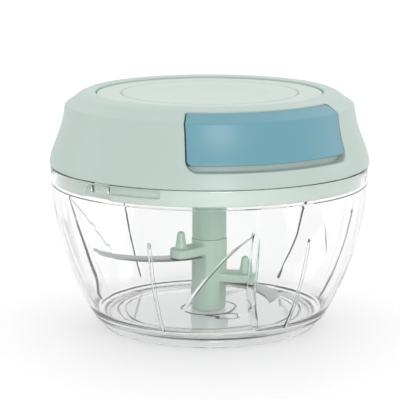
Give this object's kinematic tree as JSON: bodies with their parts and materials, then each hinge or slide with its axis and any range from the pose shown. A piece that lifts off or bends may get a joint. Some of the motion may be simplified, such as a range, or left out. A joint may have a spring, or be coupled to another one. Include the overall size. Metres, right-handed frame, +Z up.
{
  "type": "vegetable chopper",
  "caption": "Pull-cord vegetable chopper: clear ribbed bowl, mint lid with a blue pull handle, and curved steel blades on a mint shaft.",
  "frame": {"origin": "On the chopper's main axis, at the table plane under the bowl's foot ring.", "axes": "+Z up along the main axis, -Y towards the viewer of the picture, +X to the viewer's right. The pull handle is to the front and right of the lid."},
  "size_m": [0.125, 0.125, 0.0924],
  "materials": {
    "clear_plastic": "clear glossy moulding, seen through",
    "mint_plastic": "satin mint green moulding",
    "blue_plastic": "satin grey blue moulding",
    "white_plastic": "plain white acetal",
    "blade_steel": "fine ground stainless steel",
    "spring_steel": "plain steel",
    "brass": "rolled brass",
    "silicone": "soft translucent silicone",
    "cord_nylon": "braided nylon"
  },
  "bodies": {
    "bowl": {"bowl": "clear_plastic", "pivot_pin": "blade_steel"},
    "blades": {"blade_shaft": "mint_plastic", "blade_upper": "blade_steel", "blade_middle": "blade_steel", "blade_lower": "blade_steel"},
    "seal": {"seal_ring": "silicone"},
    "lid": {"lid_shell": "mint_plastic", "lid_top_disc": "mint_plastic", "lid_base": "mint_plastic", "base_screw_1": "spring_steel", "base_screw_2": "spring_steel", "base_screw_3": "spring_steel", "cord_eyelet": "brass", "reel_spindle": "spring_steel", "spindle_screw": "spring_steel", "recoil_spring": "spring_steel"},
    "drive": {"drive_sleeve": "mint_plastic", "pawl_pin_1": "spring_steel", "pawl_pin_2": "spring_steel", "pawl_pin_3": "spring_steel"},
    "pawl_a": {"pawl_1": "white_plastic"},
    "pawl_b": {"pawl_2": "white_plastic"},
    "pawl_c": {"pawl_3": "white_plastic"},
    "reel": {"cord_reel": "white_plastic", "cord_winding": "cord_nylon"},
    "handle": {"pull_handle": "blue_plastic", "handle_back": "blue_plastic", "cord_stop": "cord_nylon", "pull_cord": "cord_nylon"}
  },
  "joints": [
    {"name": "lid_lift", "type": "slide", "parent": "bowl", "child": "seal", "axis": [0, 0, 1], "range_m": [0, 0.08]},
    {"name": "lid_turn", "type": "hinge", "parent": "seal", "child": "lid", "pos_m": [0, 0, 0.0642], "axis": [0, 0, 1], "range_deg": [-20, 0]},
    {"name": "handle_pull", "type": "slide", "parent": "lid", "child": "handle", "axis": [0.4115, -0.9114, 0], "range_m": [0, 0.28], "deforming": ["pull_cord"]},
    {"name": "blade_spin", "type": "hinge", "parent": "bowl", "child": "blades", "pos_m": [0, 0, 0.0048], "axis": [0, 0, 1], "range_deg": [0, 725]},
    {"name": "drive_spin", "type": "hinge", "parent": "lid", "child": "drive", "pos_m": [0, 0, 0.0642], "axis": [0, 0, 1], "range_deg": [0, 725]},
    {"name": "reel_spin", "type": "hinge", "parent": "lid", "child": "reel", "pos_m": [0, 0, 0.0679], "axis": [0, 0, 1], "range_deg": [0, 725], "deforming": ["recoil_spring"]},
    {"name": "pawl_swing_1", "type": "hinge", "parent": "drive", "child": "pawl_a", "pos_m": [0.0095, 0, 0.0711], "axis": [0, 0, 1], "range_deg": [-16, 0], "stiffness_Nm_per_rad": 0.001},
    {"name": "pawl_swing_2", "type": "hinge", "parent": "drive", "child": "pawl_b", "pos_m": [-0.00475, 0.00823, 0.0711], "axis": [0, 0, 1], "range_deg": [-16, 0], "stiffness_Nm_per_rad": 0.001},
    {"name": "pawl_swing_3", "type": "hinge", "parent": "drive", "child": "pawl_c", "pos_m": [-0.00475, -0.00823, 0.0711], "axis": [0, 0, 1], "range_deg": [-16, 0], "stiffness_Nm_per_rad": 0.001}
  ],
  "couplings": [
    {"joint": "blade_spin", "follows": "handle_pull", "rad_per_m": 44.8},
    {"joint": "drive_spin", "follows": "handle_pull", "rad_per_m": 44.8},
    {"joint": "reel_spin", "follows": "handle_pull", "rad_per_m": 44.8}
  ]
}
